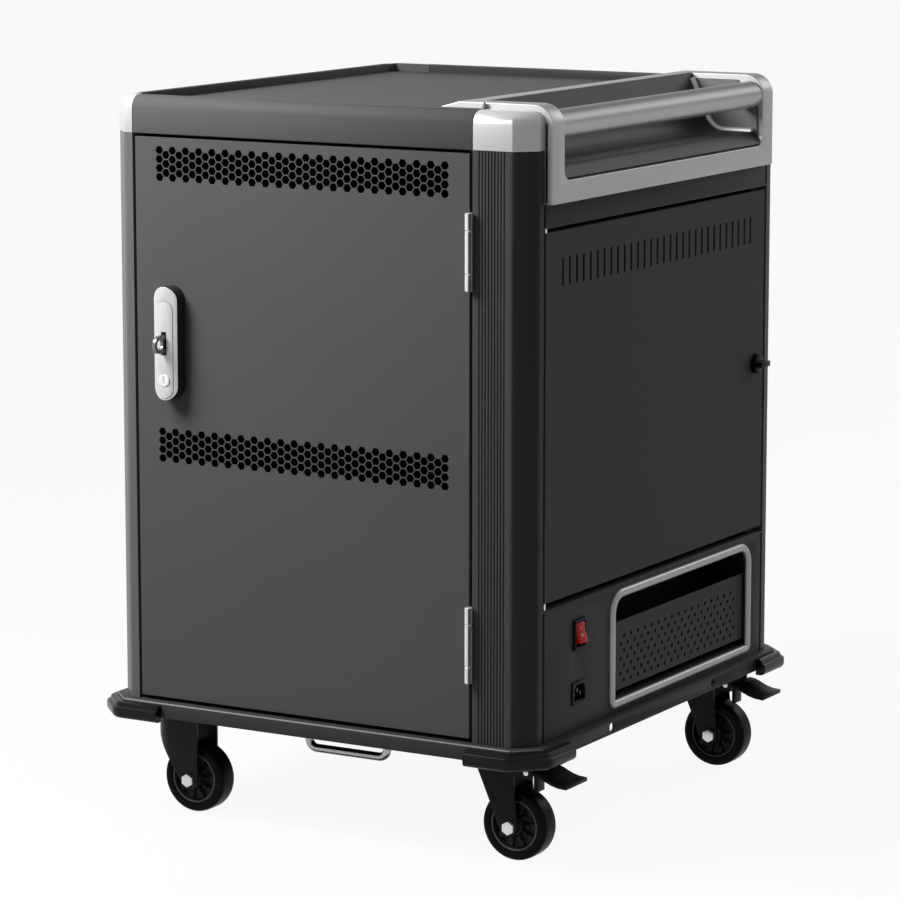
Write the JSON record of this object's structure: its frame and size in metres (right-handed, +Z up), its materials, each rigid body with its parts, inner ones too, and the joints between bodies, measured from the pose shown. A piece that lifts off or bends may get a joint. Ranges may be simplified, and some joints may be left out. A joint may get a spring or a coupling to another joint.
{
  "type": "laptop charging cart",
  "caption": "Charcoal steel charging cart on casters with lockable front and rear doors, a side service door, a push handle, a storage pocket and a recessed top tray.",
  "frame": {"origin": "on the floor, under the middle of the cart's box", "axes": "+X towards the push handle and the service door, -Y the front door, +Z up"},
  "size_m": [0.555, 0.6526, 0.7845],
  "materials": {
    "charcoal_paint": "fine-texture powder coat",
    "post_paint": "satin black",
    "silver_plastic": "silver, satin",
    "scoop_plastic": "dark grey, satin",
    "chrome": "bright",
    "satin_chrome": "satin",
    "zinc": "zinc plated",
    "black_plastic": "black, satin",
    "caster_paint": "black, satin",
    "bumper_rubber": "black, slightly glossy",
    "wheel_tyre": "black rubber tyre on a black hub",
    "red_plastic": "red, clear gloss",
    "trim_grey": "grey, satin",
    "inner_steel": "powder coat"
  },
  "bodies": {
    "cabinet": {"base_frame": "charcoal_paint", "bumper_front_right": "bumper_rubber", "bumper_front_left": "bumper_rubber", "bumper_rear_right": "bumper_rubber", "bumper_rear_left": "bumper_rubber", "post_front_right": "post_paint", "post_front_left": "post_paint", "post_rear_right": "post_paint", "post_rear_left": "post_paint", "cap_front_right": "silver_plastic", "cap_front_left": "silver_plastic", "cap_rear_right": "silver_plastic", "cap_rear_left": "silver_plastic", "top_cover": "charcoal_paint", "handle_housing": "silver_plastic", "handle_liner": "scoop_plastic", "push_bar": "silver_plastic", "right_side_panel": "charcoal_paint", "left_side_panel": "charcoal_paint", "pocket_bin": "charcoal_paint", "pocket_trim": "trim_grey", "switch_bezel": "black_plastic", "power_inlet": "black_plastic", "wire_pull": "chrome", "front_hinge_post_half": "chrome", "rear_hinge_post_half": "chrome", "rigid_fork_front": "caster_paint", "rigid_fork_rear": "caster_paint", "axle_bolt_front_left": "zinc", "axle_bolt_rear_left": "zinc", "swivel_plate_front": "caster_paint", "swivel_plate_rear": "caster_paint", "power_partition": "inner_steel", "middle_shelf": "inner_steel", "lower_rack": "inner_steel", "upper_rack": "inner_steel", "power_strip": "black_plastic"},
    "front_door": {"front_door": "charcoal_paint", "front_hinge_door_half": "chrome", "front_lock_body": "satin_chrome"},
    "front_lever": {"front_lock_lever": "satin_chrome"},
    "front_key": {"front_key_cylinder": "satin_chrome"},
    "rear_door": {"rear_door": "charcoal_paint", "rear_hinge_door_half": "chrome", "rear_lock_body": "satin_chrome"},
    "rear_lever": {"rear_lock_lever": "satin_chrome"},
    "rear_key": {"rear_key_cylinder": "satin_chrome"},
    "service_door": {"service_door": "charcoal_paint"},
    "thumb_turn": {"service_thumb_turn": "black_plastic"},
    "rocker": {"rocker_switch": "red_plastic"},
    "swivel_front": {"swivel_fork_front": "caster_paint", "axle_bolt_front_right": "zinc"},
    "swivel_rear": {"swivel_fork_rear": "caster_paint", "axle_bolt_rear_right": "zinc"},
    "wheel_front_right": {"wheel_front_right": "wheel_tyre"},
    "wheel_rear_right": {"wheel_rear_right": "wheel_tyre"},
    "wheel_front_left": {"wheel_front_left": "wheel_tyre"},
    "wheel_rear_left": {"wheel_rear_left": "wheel_tyre"},
    "pedal_front": {"brake_pedal_front": "black_plastic"},
    "pedal_rear": {"brake_pedal_rear": "black_plastic"}
  },
  "joints": [
    {"name": "front_door_hinge", "type": "hinge", "parent": "cabinet", "child": "front_door", "pos_m": [0.1837, -0.293, 0.4355], "axis": [0, 0, 1], "range_deg": [0, 120]},
    {"name": "front_lever_lift", "type": "hinge", "parent": "front_door", "child": "front_lever", "pos_m": [-0.1764, -0.3073, 0.563], "axis": [-1, 0, 0], "range_deg": [0, 35]},
    {"name": "front_key_turn", "type": "hinge", "parent": "front_lever", "child": "front_key", "pos_m": [-0.1764, -0.303, 0.4822], "axis": [0, -1, 0], "range_deg": [0, 90]},
    {"name": "rear_door_hinge", "type": "hinge", "parent": "cabinet", "child": "rear_door", "pos_m": [-0.1887, 0.293, 0.4355], "axis": [0, 0, 1], "range_deg": [0, 120]},
    {"name": "rear_lever_lift", "type": "hinge", "parent": "rear_door", "child": "rear_lever", "pos_m": [0.1714, 0.3073, 0.563], "axis": [1, 0, 0], "range_deg": [0, 35]},
    {"name": "rear_key_turn", "type": "hinge", "parent": "rear_lever", "child": "rear_key", "pos_m": [0.1714, 0.303, 0.4822], "axis": [0, 1, 0], "range_deg": [0, 90]},
    {"name": "service_door_hinge", "type": "hinge", "parent": "cabinet", "child": "service_door", "pos_m": [0.2475, -0.2495, 0.4645], "axis": [0, 0, -1], "range_deg": [0, 100]},
    {"name": "thumb_turn_turn", "type": "hinge", "parent": "service_door", "child": "thumb_turn", "pos_m": [0.2505, 0.2325, 0.4633], "axis": [1, 0, 0], "range_deg": [0, 90]},
    {"name": "rocker_tip", "type": "hinge", "parent": "cabinet", "child": "rocker", "pos_m": [0.2485, -0.1805, 0.233], "axis": [0, 1, 0], "range_deg": [0, 26]},
    {"name": "swivel_front_turn", "type": "hinge", "parent": "cabinet", "child": "swivel_front", "pos_m": [0.1855, -0.2325, 0.1147], "axis": [0, 0, 1], "continuous": true},
    {"name": "swivel_rear_turn", "type": "hinge", "parent": "cabinet", "child": "swivel_rear", "pos_m": [0.1855, 0.2325, 0.1147], "axis": [0, 0, 1], "continuous": true},
    {"name": "wheel_front_right_spin", "type": "hinge", "parent": "swivel_front", "child": "wheel_front_right", "pos_m": [0.2105, -0.2325, 0.0375], "axis": [0, 1, 0], "continuous": true},
    {"name": "wheel_rear_right_spin", "type": "hinge", "parent": "swivel_rear", "child": "wheel_rear_right", "pos_m": [0.2105, 0.2325, 0.0375], "axis": [0, 1, 0], "continuous": true},
    {"name": "wheel_front_left_spin", "type": "hinge", "parent": "cabinet", "child": "wheel_front_left", "pos_m": [-0.1865, -0.2325, 0.0375], "axis": [0, 1, 0], "continuous": true},
    {"name": "wheel_rear_left_spin", "type": "hinge", "parent": "cabinet", "child": "wheel_rear_left", "pos_m": [-0.1865, 0.2325, 0.0375], "axis": [0, 1, 0], "continuous": true},
    {"name": "pedal_front_press", "type": "hinge", "parent": "swivel_front", "child": "pedal_front", "pos_m": [0.2295, -0.2325, 0.0977], "axis": [0, 1, 0], "range_deg": [0, 12], "stiffness_Nm_per_rad": 0.5, "springref_deg": -17.19},
    {"name": "pedal_rear_press", "type": "hinge", "parent": "swivel_rear", "child": "pedal_rear", "pos_m": [0.2295, 0.2325, 0.0977], "axis": [0, 1, 0], "range_deg": [0, 12], "stiffness_Nm_per_rad": 0.5, "springref_deg": -17.19}
  ]
}
